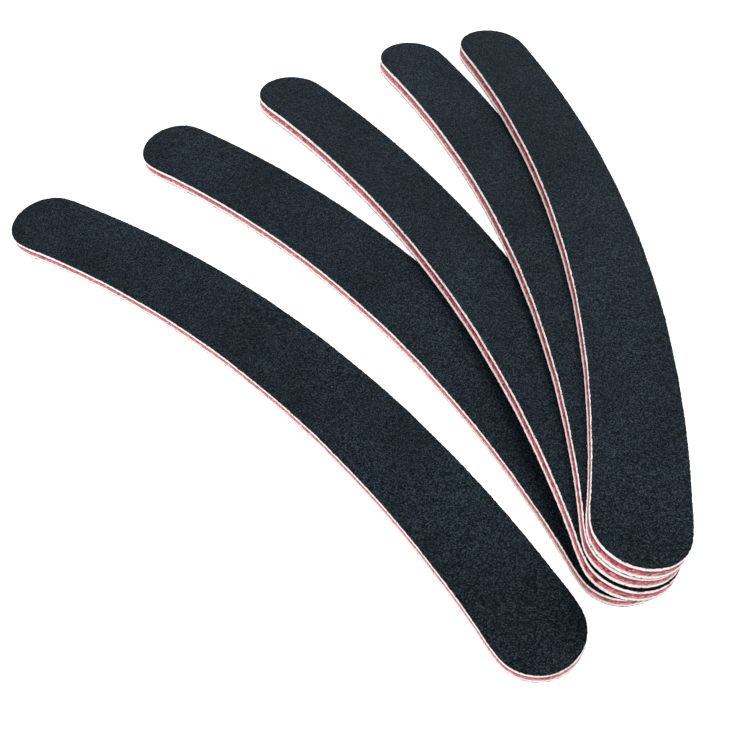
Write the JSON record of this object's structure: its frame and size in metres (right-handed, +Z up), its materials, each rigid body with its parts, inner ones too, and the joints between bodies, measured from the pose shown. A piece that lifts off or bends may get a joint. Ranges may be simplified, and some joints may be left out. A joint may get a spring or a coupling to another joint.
{
  "type": "nail file set",
  "caption": "Loose set of crescent-shaped double-sided salon nail files, one lying alone and the rest fanned from a stack of heels.",
  "frame": {"origin": "middle of the whole set's bounding box, on the surface that the files lie on", "axes": "+Z up, +Y from the stacked heels towards the fanned tips, +X from the file that lies alone towards the top of the fan"},
  "size_m": [0.1518, 0.1882, 0.02],
  "materials": {
    "grit": "black silicon carbide grit, make-coated, dry matte with a faint sparkle",
    "paper": "white latex-saturated backing paper, die-cut edge",
    "foam": "white closed-cell EVA foam tape, die-cut edge",
    "core": "red rigid polystyrene board, die-cut edge, satin"
  },
  "bodies": {
    "file1": {"file1_lower_grit": "grit", "file1_lower_paper": "paper", "file1_lower_foam": "foam", "file1_core": "core", "file1_upper_foam": "foam", "file1_upper_paper": "paper", "file1_upper_grit": "grit"},
    "file2": {"file2_lower_grit": "grit", "file2_lower_paper": "paper", "file2_lower_foam": "foam", "file2_core": "core", "file2_upper_foam": "foam", "file2_upper_paper": "paper", "file2_upper_grit": "grit"},
    "file3": {"file3_lower_grit": "grit", "file3_lower_paper": "paper", "file3_lower_foam": "foam", "file3_core": "core", "file3_upper_foam": "foam", "file3_upper_paper": "paper", "file3_upper_grit": "grit"},
    "file4": {"file4_lower_grit": "grit", "file4_lower_paper": "paper", "file4_lower_foam": "foam", "file4_core": "core", "file4_upper_foam": "foam", "file4_upper_paper": "paper", "file4_upper_grit": "grit"},
    "file5": {"file5_lower_grit": "grit", "file5_lower_paper": "paper", "file5_lower_foam": "foam", "file5_core": "core", "file5_upper_foam": "foam", "file5_upper_paper": "paper", "file5_upper_grit": "grit"}
  },
  "joints": [
    {"name": "file1_lift", "type": "slide", "parent": "file2", "child": "file1", "axis": [0, 0, 1], "range_m": [0, 0.06]},
    {"name": "file3_lift", "type": "slide", "parent": "file2", "child": "file3", "axis": [0, 0, 1], "range_m": [0, 0.06]},
    {"name": "file4_lift", "type": "slide", "parent": "file3", "child": "file4", "axis": [0, 0, 1], "range_m": [0, 0.06]},
    {"name": "file5_lift", "type": "slide", "parent": "file4", "child": "file5", "axis": [0, 0, 1], "range_m": [0, 0.06]}
  ]
}
